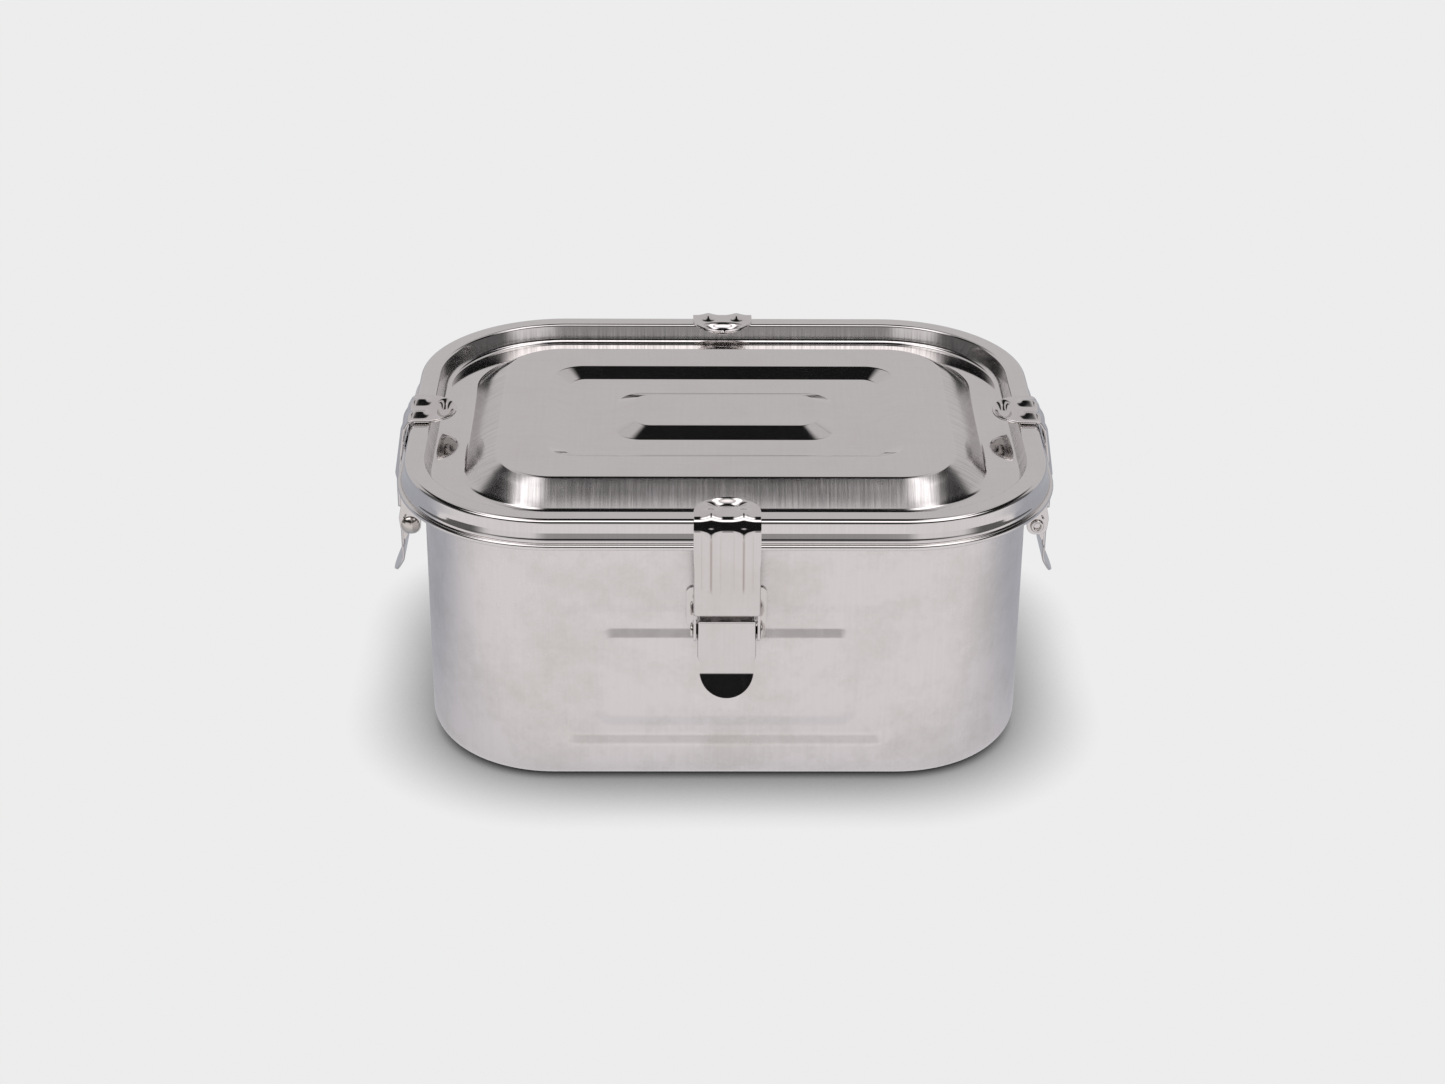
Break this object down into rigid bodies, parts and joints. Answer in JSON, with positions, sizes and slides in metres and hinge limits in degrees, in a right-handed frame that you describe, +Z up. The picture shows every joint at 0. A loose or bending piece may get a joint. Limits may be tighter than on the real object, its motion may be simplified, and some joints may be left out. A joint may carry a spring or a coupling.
{
  "type": "lunch box",
  "caption": "Rectangular stainless-steel lunch box with rounded corners, pressed walls and a lift-off sealed lid held by over-centre clasps on its sides.",
  "frame": {"origin": "centre of the base, on the table", "axes": "+Z up, X along the long side, front towards -Y"},
  "size_m": [0.2176, 0.173, 0.096],
  "materials": {
    "pressed_steel": "polished stainless sheet with fine brush lines on the slopes",
    "clasp_steel": "pressed and tumbled steel strip, slightly warm",
    "rivet_steel": "plated rivets",
    "silicone": "soft translucent white seal"
  },
  "bodies": {
    "tub": {"tub": "pressed_steel", "front_bracket": "clasp_steel", "front_pivot_pin": "rivet_steel", "back_bracket": "clasp_steel", "back_pivot_pin": "rivet_steel", "left_bracket": "clasp_steel", "left_pivot_pin": "rivet_steel", "right_bracket": "clasp_steel", "right_pivot_pin": "rivet_steel"},
    "lid": {"lid": "pressed_steel", "gasket": "silicone"},
    "front_lever": {"front_lever": "clasp_steel", "front_rivet": "rivet_steel"},
    "front_hook": {"front_hook": "clasp_steel"},
    "back_lever": {"back_lever": "clasp_steel", "back_rivet": "rivet_steel"},
    "back_hook": {"back_hook": "clasp_steel"},
    "left_lever": {"left_lever": "clasp_steel", "left_rivet": "rivet_steel"},
    "left_hook": {"left_hook": "clasp_steel"},
    "right_lever": {"right_lever": "clasp_steel", "right_rivet": "rivet_steel"},
    "right_hook": {"right_hook": "clasp_steel"}
  },
  "joints": [
    {"name": "lid_lift", "type": "slide", "parent": "tub", "child": "lid", "axis": [0, 0, 1], "range_m": [0, 0.007]},
    {"name": "front_lever_turn", "type": "hinge", "parent": "tub", "child": "front_lever", "pos_m": [0, -0.07855, 0.066], "axis": [-1, 0, 0], "range_deg": [0, 39]},
    {"name": "front_hook_swing", "type": "hinge", "parent": "front_lever", "child": "front_hook", "pos_m": [0, -0.07925, 0.058], "axis": [1, 0, 0], "range_deg": [0, 117]},
    {"name": "back_lever_turn", "type": "hinge", "parent": "tub", "child": "back_lever", "pos_m": [0, 0.07855, 0.066], "axis": [1, 0, 0], "range_deg": [0, 39]},
    {"name": "back_hook_swing", "type": "hinge", "parent": "back_lever", "child": "back_hook", "pos_m": [0, 0.07925, 0.058], "axis": [-1, 0, 0], "range_deg": [0, 117]},
    {"name": "left_lever_turn", "type": "hinge", "parent": "tub", "child": "left_lever", "pos_m": [-0.1008, 0, 0.066], "axis": [0, 1, 0], "range_deg": [0, 39]},
    {"name": "left_hook_swing", "type": "hinge", "parent": "left_lever", "child": "left_hook", "pos_m": [-0.1015, 0, 0.058], "axis": [0, -1, 0], "range_deg": [0, 117]},
    {"name": "right_lever_turn", "type": "hinge", "parent": "tub", "child": "right_lever", "pos_m": [0.1008, 0, 0.066], "axis": [0, -1, 0], "range_deg": [0, 39]},
    {"name": "right_hook_swing", "type": "hinge", "parent": "right_lever", "child": "right_hook", "pos_m": [0.1015, 0, 0.058], "axis": [0, 1, 0], "range_deg": [0, 117]}
  ],
  "couplings": [
    {"joint": "front_lever_turn", "follows": "lid_lift", "rad_per_m": 97.2},
    {"joint": "front_hook_swing", "follows": "lid_lift", "rad_per_m": 291.6},
    {"joint": "back_lever_turn", "follows": "lid_lift", "rad_per_m": 97.2},
    {"joint": "back_hook_swing", "follows": "lid_lift", "rad_per_m": 291.6},
    {"joint": "left_lever_turn", "follows": "lid_lift", "rad_per_m": 97.2},
    {"joint": "left_hook_swing", "follows": "lid_lift", "rad_per_m": 291.6},
    {"joint": "right_lever_turn", "follows": "lid_lift", "rad_per_m": 97.2},
    {"joint": "right_hook_swing", "follows": "lid_lift", "rad_per_m": 291.6}
  ]
}
